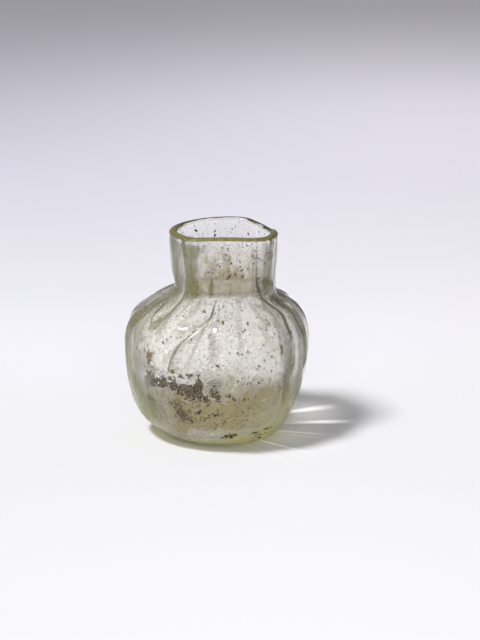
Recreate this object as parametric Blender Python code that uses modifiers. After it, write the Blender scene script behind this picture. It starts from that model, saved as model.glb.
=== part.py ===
"""Small ancient ribbed glass jar: a squat round body with soft ribs and a wide, slightly crooked neck.

The jar is one piece of blown glass, open at the mouth, with walls of true thickness.
It is turned as one profile, and then the ribs and the hand-made irregularities are pushed into it.
Units are metres, +Z is up, and the jar stands on the origin.
Angles run round the jar from +X, through the back (+Y), as atan2 gives them.
"""
import math

import bmesh
import bpy
from mathutils import Vector

MM = 0.001

# Outer wall, from the lip down to the resting ring: radius, height and wall thickness.
OUTER_WALL = (
    (17.0, 68.0, 2.6),
    (16.9, 64.5, 2.6),
    (16.6, 59.0, 2.5),
    (16.2, 53.5, 2.5),
    (16.1, 51.0, 2.6),
    (17.0, 49.2, 2.7),
    (19.5, 47.4, 2.8),
    (22.7, 45.4, 2.9),
    (25.9, 43.0, 2.9),
    (28.8, 39.3, 2.8),
    (30.3, 34.5, 2.7),
    (30.4, 29.5, 2.7),
    (29.7, 23.5, 2.7),
    (28.3, 16.0, 2.8),
    (25.9, 9.4, 3.0),
    (22.5, 4.2, 3.2),
    (19.2, 1.2, 3.3),
    (16.4, 0.0, 3.3),
)
OUTER_POINTS_PER_SPAN = 2
INNER_POINTS_PER_SPAN = 1
LIP_ARC_POINTS = 4

# Underside: a flat resting ring round a shallow kick.
RING_INNER_RADIUS = 12.0
KICK_HEIGHT = 1.2
KICK_POINTS = 3
FLOOR_POINTS = 2
FLOOR_RISE = 0.5

# Ribs: broad soft ridges, strongest on the shoulder, faint up the neck and gone below the middle.
RIB_COUNT = 16
RIB_DEPTH = 0.85
RIB_SHARPNESS = 1.4
NECK_RIB_SHARE = 0.18
RIB_FIRST_ANGLE = -82.5
RIB_SWIRL_PER_MM = 0.45
RIB_LOW_END = 14.0
RIB_FULL_FROM = 36.0
RIB_FULL_TO = 45.5
RIB_HIGH_END = 51.0

# Neck: set a little to one side, and squarish in plan, with a flat front and a pinch at the back right.
NECK_OFFSET = 2.4
NECK_OFFSET_FROM = 40.0
NECK_OFFSET_TO = 49.0
FOOT_OFFSET = 1.4
FOOT_OFFSET_TOP = 9.0
NECK_PLAN_FROM = 44.5
NECK_PLAN_TO = 50.5
NECK_PLAN = (
    (0, 0.8),
    (25, 0.1),
    (45, -0.4),
    (66, 1.0),
    (95, -0.5),
    (125, -0.8),
    (150, 0.0),
    (172, 0.7),
    (195, 0.9),
    (215, 1.1),
    (237, 2.0),
    (253, 0.0),
    (270, -1.0),
    (288, -0.6),
    (305, 1.4),
    (322, 2.0),
    (340, 1.1),
)
RIM_FALL_TO_SIDES = 0.33
RIM_FALL_TO_RIGHT = 0.25
RIM_DIP = 0.8
RIM_DIP_ANGLE = 22.0
RIM_DIP_SPREAD = 16.0
RIM_FALL_FROM = 46.0
RIM_HEIGHT = 69.3

TURN_STEPS = 80
MERGE_DISTANCE = 0.00001

GLASS_COLOUR = (0.62, 0.64, 0.47, 1.0)
GLASS_ROUGHNESS = 0.08
GLASS_METALLIC = 0.0


def clear_scene():
    for thing in list(bpy.data.objects):
        bpy.data.objects.remove(thing, do_unlink=True)


def smooth_step(low, high, value):
    share = min(max((value - low) / (high - low), 0.0), 1.0)
    return share * share * (3.0 - 2.0 * share)


def curve_through(points, per_span):
    """Points of a smooth curve through the given ones, with per_span of them in each span."""
    points = [Vector(point) for point in points]
    before = 2.0 * points[0] - points[1]
    after = 2.0 * points[-1] - points[-2]
    padded = [before] + points + [after]
    curve = []
    for a, b, c, d in zip(padded, padded[1:], padded[2:], padded[3:]):
        for step in range(per_span):
            t = step / per_span
            bend = (2 * a - 5 * b + 4 * c - d) * t * t + (3 * b - a - 3 * c + d) * t ** 3
            curve.append(0.5 * (2 * b + (c - a) * t + bend))
    return curve + [points[-1]]


def offset_inward(curve):
    """The inner wall: each point of the outer one, moved through the glass by its own thickness."""
    inner = []
    for index, point in enumerate(curve):
        ahead = curve[min(index + 1, len(curve) - 1)]
        behind = curve[max(index - 1, 0)]
        along = Vector((ahead.x - behind.x, ahead.y - behind.y)).normalized()
        across = Vector((along.y, -along.x))
        inner.append(Vector((point.x, point.y)) + across * point.z)
    return inner


def lip_arc(outer_top):
    """The round lip over the top of the wall, from outside to inside, without its two ends."""
    radius = outer_top.z / 2.0
    middle = outer_top.x - radius
    arc = []
    for step in range(1, LIP_ARC_POINTS + 1):
        angle = math.pi * step / (LIP_ARC_POINTS + 1)
        arc.append(Vector((middle + radius * math.cos(angle), outer_top.y + radius * math.sin(angle))))
    return arc


def underside():
    """The resting ring's inner edge and the shallow kick, in to the axis."""
    points = []
    for step in range(KICK_POINTS + 1):
        radius = RING_INNER_RADIUS * (1.0 - step / KICK_POINTS)
        height = KICK_HEIGHT * (1.0 + math.cos(math.pi * radius / RING_INNER_RADIUS)) / 2.0
        points.append(Vector((radius, height)))
    return points


def inner_floor(edge):
    """The inside floor, from the axis out to the end of the inner wall."""
    points = []
    for step in range(FLOOR_POINTS):
        radius = edge.x * step / FLOOR_POINTS
        rise = FLOOR_RISE * (1.0 + math.cos(math.pi * radius / edge.x)) / 2.0
        points.append(Vector((radius, edge.y + rise)))
    return points


def jar_profile():
    """Half section of the glass: inside floor, inner wall, lip, outer wall, underside."""
    outer = curve_through(OUTER_WALL, OUTER_POINTS_PER_SPAN)
    inner = offset_inward(curve_through(OUTER_WALL, INNER_POINTS_PER_SPAN))
    lip = lip_arc(outer[0])
    outer_line = [Vector((point.x, point.y)) for point in outer]
    return inner_floor(inner[-1]) + inner[::-1] + lip[::-1] + outer_line + underside()


def turned_mesh(name, profile, steps):
    """A closed mesh of the profile turned round Z."""
    line = bpy.data.meshes.new(name + "_profile")
    corners = [(point.x * MM, 0.0, point.y * MM) for point in profile]
    line.from_pydata(corners, [(i, i + 1) for i in range(len(corners) - 1)], [])
    guide = bpy.data.objects.new(name + "_profile", line)
    bpy.context.scene.collection.objects.link(guide)
    screw = guide.modifiers.new("turn", "SCREW")
    screw.steps = steps
    screw.render_steps = steps
    screw.use_merge_vertices = True
    screw.merge_threshold = MERGE_DISTANCE
    depsgraph = bpy.context.evaluated_depsgraph_get()
    mesh = bpy.data.meshes.new_from_object(guide.evaluated_get(depsgraph))
    mesh.name = name
    bpy.data.objects.remove(guide, do_unlink=True)
    return mesh


def neck_plan(angle):
    """How far the neck's wall stands in or out of a circle, on a smooth closed curve."""
    degrees = math.degrees(angle) % 360.0
    count = len(NECK_PLAN)
    index = max(i for i in range(count) if NECK_PLAN[i][0] <= degrees)

    def station(number):
        turns, place = divmod(number, count)
        return NECK_PLAN[place][0] + 360.0 * turns, NECK_PLAN[place][1]

    (a0, v0), (a1, v1), (a2, v2), (a3, v3) = (station(index + i) for i in (-1, 0, 1, 2))
    span = a2 - a1
    t = (degrees - a1) / span
    slope_1 = (v2 - v0) / (a2 - a0) * span
    slope_2 = (v3 - v1) / (a3 - a1) * span
    rise = (3 * t ** 2 - 2 * t ** 3) * (v2 - v1)
    return v1 + rise + (t ** 3 - 2 * t ** 2 + t) * slope_1 + (t ** 3 - t ** 2) * slope_2


def rib_relief(angle, height):
    """Height of the ribs over the plain wall, in millimetres, above and below its mean."""
    swirl = RIB_SWIRL_PER_MM * (RIB_FULL_TO - max(height, RIB_FULL_FROM))
    phase = RIB_COUNT * (math.degrees(angle) - RIB_FIRST_ANGLE + swirl)
    ridge = ((1.0 + math.cos(math.radians(phase))) / 2.0) ** RIB_SHARPNESS
    strength = smooth_step(RIB_LOW_END, RIB_FULL_FROM, height)
    strength *= 1.0 - (1.0 - NECK_RIB_SHARE) * smooth_step(RIB_FULL_TO, RIB_HIGH_END, height)
    return RIB_DEPTH * strength * (ridge - 0.5)


def axis_shift(height):
    neck = NECK_OFFSET * smooth_step(NECK_OFFSET_FROM, NECK_OFFSET_TO, height)
    foot = FOOT_OFFSET * (1.0 - smooth_step(0.0, FOOT_OFFSET_TOP, height))
    return neck + foot


def rim_fall(angle, height):
    """How far the uneven rim lies below a level one; the neck takes it up evenly."""
    away = (math.degrees(angle) - RIM_DIP_ANGLE + 180.0) % 360.0 - 180.0
    fall = RIM_DIP * math.exp(-(away / RIM_DIP_SPREAD) ** 2)
    fall += RIM_FALL_TO_RIGHT * math.cos(angle) + RIM_FALL_TO_SIDES * math.cos(2.0 * angle)
    return fall * smooth_step(RIM_FALL_FROM, RIM_HEIGHT, height)


def shape_by_hand(shape):
    """Moves the turned vertices to the ribbed, slightly crooked form."""
    shape.normal_update()
    for vertex in shape.verts:
        angle = math.atan2(vertex.co.y, vertex.co.x)
        height = vertex.co.z / MM
        outward = Vector((math.cos(angle), math.sin(angle), 0.0))
        on_axis = vertex.co.xy.length < MERGE_DISTANCE
        if vertex.normal.dot(outward) > 0.0 and not on_axis:
            vertex.co += vertex.normal * rib_relief(angle, height) * MM
        if not on_axis:
            plan = neck_plan(angle) * smooth_step(NECK_PLAN_FROM, NECK_PLAN_TO, height)
            vertex.co += outward * plan * MM
        vertex.co.x += axis_shift(height) * MM
        vertex.co.z -= rim_fall(angle, height) * MM


def centre_on_origin(shape):
    """Puts the middle of the jar's box over the origin, and its resting ring at zero height."""
    xs = [vertex.co.x for vertex in shape.verts]
    ys = [vertex.co.y for vertex in shape.verts]
    lowest = min(vertex.co.z for vertex in shape.verts)
    middle = Vector(((min(xs) + max(xs)) / 2.0, (min(ys) + max(ys)) / 2.0, lowest))
    bmesh.ops.translate(shape, verts=shape.verts, vec=-middle)


def glass_material():
    material = bpy.data.materials.new("weathered_glass")
    material.use_nodes = True
    shader = material.node_tree.nodes["Principled BSDF"]
    shader.inputs["Base Color"].default_value = GLASS_COLOUR
    shader.inputs["Roughness"].default_value = GLASS_ROUGHNESS
    shader.inputs["Metallic"].default_value = GLASS_METALLIC
    shader.inputs["Transmission Weight"].default_value = 1.0
    return material


def make_jar(collection):
    mesh = turned_mesh("glass_jar", jar_profile(), TURN_STEPS)
    shape = bmesh.new()
    shape.from_mesh(mesh)
    bmesh.ops.remove_doubles(shape, verts=shape.verts, dist=MERGE_DISTANCE)
    shape_by_hand(shape)
    centre_on_origin(shape)
    shape.to_mesh(mesh)
    shape.free()
    mesh.shade_smooth()
    mesh.materials.clear()
    mesh.materials.append(glass_material())
    jar = bpy.data.objects.new("glass_jar", mesh)
    collection.objects.link(jar)
    return jar


def main():
    clear_scene()
    collection = bpy.data.collections.new("ribbed_glass_jar")
    bpy.context.scene.collection.children.link(collection)
    make_jar(collection)


main()
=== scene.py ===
"""Ancient ribbed glass jar: clear green-grey glass, burial haze and soil inside it, on a pale sweep."""

import math

import bmesh
import bpy
import numpy as np
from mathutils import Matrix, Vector


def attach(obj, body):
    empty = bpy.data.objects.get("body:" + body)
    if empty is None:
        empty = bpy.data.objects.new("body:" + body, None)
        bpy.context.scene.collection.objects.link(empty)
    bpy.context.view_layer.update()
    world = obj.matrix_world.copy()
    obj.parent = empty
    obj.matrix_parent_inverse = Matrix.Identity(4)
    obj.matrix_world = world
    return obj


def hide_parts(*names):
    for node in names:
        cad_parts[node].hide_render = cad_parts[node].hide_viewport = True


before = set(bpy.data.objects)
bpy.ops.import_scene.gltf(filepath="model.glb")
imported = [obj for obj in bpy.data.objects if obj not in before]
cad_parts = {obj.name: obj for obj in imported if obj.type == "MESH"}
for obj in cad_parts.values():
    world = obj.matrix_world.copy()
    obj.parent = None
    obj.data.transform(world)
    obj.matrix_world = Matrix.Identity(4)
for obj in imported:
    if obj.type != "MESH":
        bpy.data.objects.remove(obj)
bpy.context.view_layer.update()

MM = 0.001

# Outer wall, from the lip down to the resting ring: radius, height and wall thickness, in millimetres.
OUTER_WALL = (
    (17, 68, 2.6), (16.9, 64.5, 2.6), (16.6, 59, 2.5), (16.2, 53.5, 2.5), (16.1, 51, 2.6),
    (17, 49.2, 2.7), (19.5, 47.4, 2.8), (22.7, 45.4, 2.9), (25.9, 43, 2.9), (28.8, 39.3, 2.8),
    (30.3, 34.5, 2.7), (30.4, 29.5, 2.7), (29.7, 23.5, 2.7), (28.3, 16, 2.8), (25.9, 9.4, 3),
    (22.5, 4.2, 3.2), (19.2, 1.2, 3.3), (16.4, 0, 3.3),
)
RING_INNER_RADIUS = 12
KICK_HEIGHT = 1.2
KICK_SHARES = (1.0, 0.85, 0.7, 0.55, 0.4, 0.25, 0.1)
FLOOR_RISE = 0.5
FLOOR_STEPS = 12
LIP_STEPS = 12

# How far the neck stands out of a circle: degrees from the right-hand side round the back, and millimetres.
NECK_PLAN = (
    (0, 0.8), (25, 0.1), (45, -0.4), (66, 1), (95, -0.5), (125, -0.8), (150, 0), (172, 0.7),
    (195, 0.9), (215, 1.1), (237, 2), (253, 0), (270, -1), (288, -0.6), (305, 1.4), (322, 2),
    (340, 1.1),
)
NECK_PLAN_SPAN = (44.5, 50.5)
# Neck and foot sit to the right of the body's middle. The rim falls unevenly and dips at one place.
NECK_SHIFT = 2.4
NECK_SHIFT_SPAN = (40, 49)
FOOT_SHIFT = 1.4
FOOT_SHIFT_TOP = 9
RIM_FALL_RIGHT = 0.25
RIM_FALL_SIDES = 0.33
RIM_FALL_SPAN = (46, 69.3)
RIM_DIP = 0.8
RIM_DIP_AT = 22
RIM_DIP_SPREAD = 16

# Blown ribs from the shoulder down: how full and how sharp each is, and its path of height and degrees round
# from the front.
RIB_BREADTH = 4.2
RIB_RISE = 1.1
CREST_HALF_WIDTH = 1.3
CREST_RISE = 0.34
RIBS = (
    (1.25, 0, ((52, 1), (48, 2), (43, 2.5), (36, 4), (20, 5))),
    (0.95, 0.5, ((52, 20), (48.4, 25), (44.6, 28), (41.8, 30), (34, 30), (18, 30))),
    (1, 1, ((52, 40), (49, 46), (46, 51), (43, 54), (35, 54), (25, 55))),
    (1, 1.1, ((52, 60), (49.6, 68), (45.5, 75), (41, 74), (34, 72), (24, 73))),
    (0.9, 0.8, ((51, 92), (44, 96), (34, 97), (17, 99))),
    (1, 0.7, ((52, 112), (44, 118), (32, 120), (20, 121))),
    (0.9, 0.9, ((51, 133), (44, 141), (34, 143), (16, 144))),
    (1.1, 0.6, ((52, 158), (44, 163), (32, 165), (19, 166))),
    (0.9, 0.8, ((51, 181), (44, 187), (34, 188), (18, 189))),
    (1, 0.6, ((52, 203), (44, 209), (32, 211), (20, 212))),
    (1.1, 0.9, ((51, 226), (44, 232), (34, 234), (17, 235))),
    (0.9, 0.7, ((52, 250), (44, 255), (32, 257), (19, 257))),
    (0.7, 0.7, ((51, -72), (46, -82), (35, -83), (10, -84))),
    (1, 1.1, ((52, -40), (48.5, -53), (45, -61), (40, -61), (33, -60.5), (26, -61))),
    (0.9, 0.8, ((52, -28), (49, -30), (45.7, -29), (41.8, -28), (36, -33), (24, -38))),
    (0.8, 0.2, ((52, -12), (47, -15), (42, -19), (36, -20), (28, -20))),
)
# The leaf-shaped fold where one rib was dragged sideways: its height, soft ends, and left and right edges.
LEAF_RISE = 0.85
LEAF_EDGE = 0.35
LEAF_GROOVE = -0.45
LEAF_GROOVE_HALF_WIDTH = 0.5
LEAF_LOW = (22.5, 26.5)
LEAF_HIGH = (43.5, 45.5)
LEAF_LEFT = (
    (44.5, -5.6), (42.7, -12), (40.4, -16.8), (38.4, -22.5),
    (35.7, -26.2), (33, -28.2), (28.8, -30.2), (24, -30.8),
)
LEAF_RIGHT = (
    (44.5, -5), (43, -8.1), (41.4, -9.4), (39.4, -11),
    (35, -14.5), (30.3, -18), (26.5, -24.3), (24, -30),
)
# Flutes up the neck: half width, rise, and the path.
FLUTES = (
    (1.3, 0.22, ((66, -45), (58, -39), (51, -34))),
    (0.9, -0.14, ((66, -29), (52, -26))),
    (1.2, 0.18, ((66, -22), (56, -18.5), (51, -18))),
    (0.8, 0.2, ((64, -12.7), (50, -13.3))),
    (1.6, 0.12, ((66, 2), (51, 2))),
    (0.6, -0.1, ((66, 20), (58, 20.5), (53, 20))),
    (1.1, 0.16, ((66, 31), (51, 30))),
    (0.5, -0.22, ((66, 35.5), (48.5, 35.5))),
    (1.6, 0.25, ((67, 62), (62, 52), (51, 50))),
    (1.3, 0.2, ((66, 74), (51, 70))),
    (1.4, 0.2, ((66, -70), (51, -64))),
    (1.5, 0.16, ((66, 110), (51, 112))),
    (1.2, 0.16, ((66, 141), (51, 138))),
    (1.4, 0.18, ((66, 171), (51, 173))),
    (1.2, 0.16, ((66, 204), (51, 206))),
    (1.5, 0.18, ((66, 236), (51, 233))),
    (1.3, 0.16, ((66, 264), (51, 262))),
)
# Where the blown wall swells or draws in: degrees, height, half widths in degrees and millimetres, how far.
SWELLS = (
    (-92, 31, 30, 6.5, -0.6), (-92, 42.5, 28, 2.6, -0.5), (-100, 47, 60, 2, 0.3),
    (-92, 6.5, 40, 3, 0.94), (-92, 16, 40, 5, -0.23), (-110, 50.6, 75, 2, -1.6),
    (100, 50.8, 75, 1.9, -0.34), (100, 48.2, 75, 1.9, -1.6), (90, 44.5, 26, 2, -0.29),
    (88, 24, 30, 5, -0.42), (90, 35, 30, 4, -0.14),
)
SWELL_FADE = (0.5, 4)
# Between the ribs the body is drawn in by this much, over these heights.
BODY_DRAWN_IN = 0.6
BODY_LOW = (18, 34)
BODY_HIGH = (44, 50)
PATH_FADE = 4
# A slow unevenness of the blown wall: how far, how long its waves are, and how many make it up.
WOBBLE = 0.07
WOBBLE_LENGTH = 9
WOBBLE_SQUASH = (1.0, 1.0, 0.6)
WOBBLE_START = (0.5, 5)
WAVES = 14
GRID_STEP = 0.68
COLUMNS = 480
OUTSIDE = 1
INSIDE = 2
# Lifts off the glass, in millimetres: outside film, inside dust, and under a flake.
FILM_LIFT = 0.05
DUST_LIFT = -0.02
SKIN_LIFT = -0.05

# Everything below is placed by degrees round from the front (more to the right) and height, with half
# widths in degrees and millimetres, and how strong it is. A minus takes some away.

# Dark soil dried on the inner wall in broken clumps.
SOIL_PATCHES = (
    (-18.5, 22.2, 6.8, 2.2, 1.7), (-11.5, 24, 2, 2.2, 1.1), (-20, 25, 5, 0.7, -1.2),
    (-23.5, 26.8, 2, 0.6, 0.9), (-16.5, 27.6, 2.4, 0.6, 0.9), (-38, 23.4, 3.6, 1.9, 1.3),
    (-47.5, 23.6, 3.6, 2.2, 1.35), (-29.5, 24.2, 2.2, 1.6, 0.95), (-53.5, 20.5, 1.8, 3.2, 1.1),
    (-51.5, 16, 2.8, 1.4, 1), (-31, 16.6, 3.2, 1, 0.95), (-41, 19.4, 8, 1.1, -1.3),
    (-1.5, 22.3, 1.2, 1.5, 1.15), (1.5, 20.4, 1.8, 1.2, 1.1), (-7, 19.3, 2, 0.9, 0.95),
    (-4.5, 17.6, 1.6, 0.7, 0.85), (8.5, 21.1, 1.1, 0.6, 1), (11.4, 19.6, 0.9, 0.7, 0.95),
    (15.5, 18.6, 0.8, 0.5, 0.9), (19.5, 18.9, 0.9, 0.6, 0.95), (23.4, 18.7, 0.9, 0.6, 0.95),
    (-26, 13.3, 2.8, 1.5, 1.3), (-20, 11.6, 2, 1, 1), (-12, 14.4, 2.4, 0.7, 0.85),
    (0, 13.8, 3.5, 0.7, 0.85), (50.5, 22.5, 0.9, 2.6, 0.85), (122, 8.5, 9, 2.4, 1.1),
    (160, 7, 9, 2, 1), (-140, 8, 10, 2.2, 1.05), (-168, 30, 2.6, 1.2, 0.95),
)
# The same on the outside, low at the foot.
FOOT_PATCHES = (
    (9.3, 5.3, 2.6, 0.7, 1.45), (13.8, 5.8, 1.3, 0.4, 1.1), (2.6, 4.7, 1.2, 0.3, 1),
    (37.8, 2.7, 1.7, 0.45, 1.35), (31, 5.5, 5, 0.22, 1.05), (37, 4.4, 5, 0.2, 1.05),
    (44, 6.2, 4, 0.25, 1), (165, 5.5, 4, 0.5, 1.1),
)
# Rust-brown stains.
STAINS = (
    (-48, 31, 2.7, 1.8, 1.5), (-29, 28, 2, 1.3, 1), (48, 33.4, 1.4, 1.5, 1.2),
    (38, 32.5, 0.8, 0.8, 1), (42, 41, 1.6, 0.6, 1), (20.2, 40.5, 0.9, 0.6, 1),
    (74, 27.4, 0.9, 0.9, 0.9), (1.5, 30.6, 1.3, 0.5, 0.85), (-150, 31, 3, 1.5, 1.1),
)
# Tan silt drawn thinly over the lower wall, and the browner clouds in it.
SILT_PATCHES = (
    (28, 15, 24, 6.6, 0.95), (46, 18, 12, 5, 0.3), (-10, 13, 18, 4.6, 1.1), (-50, 12.5, 24, 6, 1.5),
    (76, 14, 16, 6.5, 0.9), (-80, 15, 14, 8, 0.9), (-14, 6.2, 12, 1.8, -0.75), (5, 59, 40, 6, 0.72),
    (3, 52.6, 50, 2.8, 0.85), (115, 9, 26, 5, 0.7), (44.3, 42.4, 2.2, 2.6, 0.55),
    (21, 41.5, 2.4, 2, 0.4), (172, 5, 36, 4, 0.6), (-120, 9, 26, 5, 0.7),
)
SOIL_CLOUDS = (
    (-24, 13.2, 6, 2.6, 1), (-6, 14, 10, 2, 0.8), (-16, 22, 7, 3, 0.75), (-43, 22, 9, 3.4, 0.6),
    (-40, 16, 9, 1.6, 0.6), (1, 20.8, 5, 2.2, 0.6), (6, 5.6, 8, 1.2, 0.5),
    (-52, 11.5, 14, 4.6, 0.55), (0, 12.5, 40, 4.6, 0.3), (34, 14, 12, 3.4, 0.4),
    (52, 13, 8, 3.6, 0.35), (-140, 8, 12, 3, 0.6), (160, 7, 12, 3, 0.5),
)
# Olive weathering in long bands up the wall.
WALL_BANDS = (
    (51.5, 20, 2.4, 6.5, 0.6), (-78, 24, 14.5, 18, 1.4), (-48.5, 20, 3, 5, 0.35),
    (-52, 13, 15, 5, 0.8), (52, 27, 4.4, 11.5, 0.8), (71.5, 28, 5.5, 13, 0.85),
    (-9, 43.5, 2.4, 5, 0.4), (30, 42, 4, 3.2, 0.35), (14, 44, 2.2, 4, 0.35), (118, 30, 5, 14, 0.6),
    (165, 30, 6, 13, 0.6), (-150, 30, 6, 13, 0.6), (-112, 30, 5, 14, 0.5),
)
NECK_BANDS = (
    (-62, 57, 14, 11, 1), (-35, 57, 7, 9, 1), (-45, 57, 1.6, 8, -0.6), (-13.5, 55, 1.8, 5, 0.7),
    (51, 57.5, 8, 11, 0.7), (66, 60, 3, 6, -0.6), (82, 57, 10, 10, 0.7), (3, 52.6, 50, 2.6, 0.58),
    (-62, 65.6, 38, 2.1, 1.1), (140, 57, 8, 8, 0.4), (-140, 57, 8, 8, 0.4),
)
# Yellow-green weathering round the thick foot.
GREEN_PATCHES = (
    (0, 0.6, 400, 2.2, 0.9), (-70, 8.5, 18, 6, 0.35), (-78, 20, 7, 9, 0.25), (58, 9, 16, 6, 0.55),
    (26, 4.5, 20, 2.2, 0.5), (150, 6, 40, 4, 0.4), (-140, 6, 30, 4, 0.4),
)
# Olive weathering along rib edges, folds and creases, with painted shade along them: half width, strength,
# and the path.
OLIVE_AND_SHADE_LINES = (
    (
        0.5, 1,
        ((47.5, -8.6), (45.3, -7.6), (43.7, -10.8), (40.5, -16.5), (36, -23.8), (31, -28.4), (27, -30.5)),
    ),
    (0.4, 0.6, ((44.2, -7.5), (42.2, -8), (39.4, -10.5), (35.7, -13.8), (31, -17))),
    (1.7, 0.5, ((52, -20), (49, -22), (46.3, -24.5), (43.5, -24))),
    (0.7, 0.8, ((52, -28), (49, -31), (46.4, -33), (43.5, -38))),
    (0.8, 0.95, ((52, -40), (49, -44), (45.5, -45), (42.5, -45), (39.5, -44.5))),
    (0.6, 1, ((52, -50), (48.3, -54), (46.1, -57.5), (43.9, -56.7), (41, -51))),
    (0.65, 1, ((52, -61), (48.1, -66), (45.9, -68), (43.8, -67), (41.1, -64.2), (35, -59))),
    (0.6, 1, ((52, -71), (48.2, -76), (45.8, -78.5), (43.1, -77.5), (40.2, -75.5), (34, -74))),
    (1, 0.5, ((52, 24), (47.9, 27.1), (46, 30.6), (43.9, 33.9), (40, 39))),
    (0.75, 1.1, ((53.5, 37), (49, 41.9), (47.7, 46.3), (45.5, 50.4), (43.4, 52.7), (36, 53))),
    (0.65, 1.05, ((53, 57), (49, 62), (45.6, 67.5), (42.5, 68.7), (39.4, 68.1), (34, 70))),
    (0.5, 0.8, ((67, 35.3), (62, 35.8), (55.5, 36.7), (50, 37.5))),
    (0.5, 0.5, ((64, -13), (57, -14), (50, -14))),
    (0.45, 0.35, ((64, 3), (50, 3))),
)
# Milky frosting, strongest on the front of the neck.
FROST_PATCHES = (
    (4, 60, 32, 5, 0.6), (-22, 58.5, 3, 6, 0.8), (34.5, 58.5, 2, 6, 0.7), (-56, 31, 4.2, 13, 1.2),
    (-32, 35, 15, 7, 0.8), (4, 33, 22, 9, 0.52), (35, 31.5, 14, 9, 1.35), (42, 25.4, 6, 1.6, 0.8),
    (-22, 24.8, 7, 1.4, 1), (-42, 19.8, 9, 1.3, 1), (-14, 6, 14, 2.2, 0.8),
    (61.5, 32, 2.2, 13, 0.95), (178, 33, 60, 12, 0.1),
)
# Single dark grains, most on the neck: degrees round from the front, height and radius in millimetres.
NECK_GRAINS = (
    (-65, 59.8, 0.39), (-11.2, 61.6, 0.39), (-8.7, 60.3, 0.36), (2.4, 61.6, 0.33),
    (10.8, 60.6, 0.36), (22.5, 61.3, 0.39), (22.6, 59.7, 0.44), (25, 58.4, 0.65),
    (31.6, 59.1, 0.31), (39.7, 63, 0.44), (8.1, 56.3, 0.72), (16.5, 57, 0.39), (26.4, 56.4, 0.44),
    (-1.8, 65.9, 0.39), (5.2, 65.5, 0.42), (43.7, 55.4, 0.65), (45.9, 48.5, 0.47),
    (44.5, 51.5, 0.39), (-15.2, 59, 0.39), (-15.3, 57.7, 0.34), (-14.6, 50.7, 0.44),
    (-137.4, 65.8, 0.59), (-167.3, 64.9, 0.39), (-167.2, 63.5, 0.52), (146, 64.5, 0.39),
)
# Scattered grains: how many, lowest and highest, and the least and most radius.
SCATTERS = (
    (1500, 6, 46, 0.08, 0.2), (420, 6, 28, 0.12, 0.3), (520, 49, 66.5, 0.08, 0.2),
)
# Rootlets and hairs: degrees and height where each starts, which way it runs (degrees from level),
# its length in millimetres and how much it wanders.
ROOTLETS = (
    (-51, 27.6, -45, 5, 0.5), (-42, 27.8, -30, 5.5, 0.4), (-46, 25.5, -20, 3.5, 0.8),
    (-36, 26.5, -60, 3, 0.6), (-19, 26.8, 20, 4, 0.4), (3, 30.3, -20, 2.2, 1.2),
    (51, 25.5, -95, 4, 0.9), (30, 7.4, 8, 6, 0.5), (36, 6.2, 14, 7, 0.4), (14, 9, -10, 4, 0.8),
    (-160, 22, -30, 6, 0.7), (130, 15, 15, 6, 0.7),
)
HAZE_EVERYWHERE = 0.12
# The back of the neck and the lip stay nearly clean: heights, degrees either side, and how clean.
BACK_OF_NECK_UP = (50, 58)
BACK_OF_NECK_ROUND = (80, 125)
BACK_OF_NECK_CLEAN = 0.97
LIP_CLEAR = (66.4, 67.4)
# Olive weathering and painted shade go into hollows of the shoulder deeper than these.
HOLLOW_DEPTHS = (0.15, 0.6)
HOLLOW_OLIVE_AND_SHADE = 0.75
SHOULDER_LOW = (34, 42)
SHOULDER_HIGH = (49, 51)
# The lip's skin is fullest this many degrees left of the front, and thins between these degrees from there.
LIP_TURN = 12
LIP_BACK = (75, 125)
LIP_BACK_THIN = 0.8
# How strongly each skin shows its frost, silt, olive with its painted shade, and specks, and how much gloss
# lies over it.
HAZE_AMOUNTS = (0.04, 0.0, 0.88, 0.6, 1.0)
DUST_AMOUNTS = (0.88, 0.85, 0.45, 1.0, 0.0)
# The outer skin stops this many rows short of the foot, and crust is kept above this height.
CLEAN_FOOT_ROWS = 2
CLEAN_FOOT = 1.5
# The wall's radius, for turning degrees into millimetres along it: for soil, and for the olive and
# painted-shade lines and roots.
WALL_RADIUS = 27
FOLD_RADIUS = 26
# What breaks soil into clumps: the length of each swell and its share, and how strong they are together.
SOIL_BREAKS = ((4.5, 0.35), (2, 0.5), (1, 0.5))
BREAK_STRENGTH = 0.6
# Soil stays where the sum passes this. Outside, it also has to lie on a patch at least this strong.
SOIL_LEAST = 0.45
NEAR_A_PATCH = 0.05
# Flakes: cell size and thickness in millimetres, seed, and how coarse the clumps are.
SOIL_FLAKES = (0.22, 0.35, 11, 0.55)
RUST_FLAKES = (0.22, 0.12, 21, 0.5)
FOOT_FLAKES = (0.2, 0.15, 71, 0.4)
NECK_GRAIN_SEED = 31
SCATTER_SEED = 41
WALL_GRAIN_SEED = 42
ROOTLET_SEED = 51
# The thinnest edge of a flake in millimetres, and the soil value at which it is thickest.
FLAKE_LEAST = 0.08
FLAKE_FULLEST = 1.2
# What makes the silt uneven: share, length in millimetres and seed. It fades in between these values.
SILT_WAVES = ((0.22, 7, 61), (0.16, 2.5, 62))
SILT_EDGES = (0.1, 1)
# Shapes of grains, as shares of their radius, and of roots: lengths in millimetres, corners in radians.
GRAIN_STRETCH = (0.8, 1.7)
GRAIN_FLATNESS = 0.5
GRAIN_UNEVENNESS = (0.75, 1.15)
SPOT_STEP = 0.2
ROOT_STEP = 0.35
ROOT_LEAST_STEPS = 6
ROOT_RADIUS = 0.11
ROOT_TAPER = 0.7
ROOT_CORNERS = (0.5, 2.6, 4.7)

# Colours of the deposits: chalky haze, salt, olive weathering and the deeper olive that paints shade along
# the lines, silt, specks and yellow-green weathering.
CHALK = (0.93, 0.885, 0.875)
SALT = (1.0, 0.98, 0.98)
OLIVE = (0.165, 0.152, 0.076)
DEEP_OLIVE_AND_SHADE = (0.08, 0.074, 0.046)
TAN_SILT = (0.36, 0.305, 0.13)
BROWN_SILT = (0.13, 0.1, 0.035)
SPECK_BROWN = (0.07, 0.05, 0.03)
YELLOW_GREEN = (0.56, 0.545, 0.21)
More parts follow.
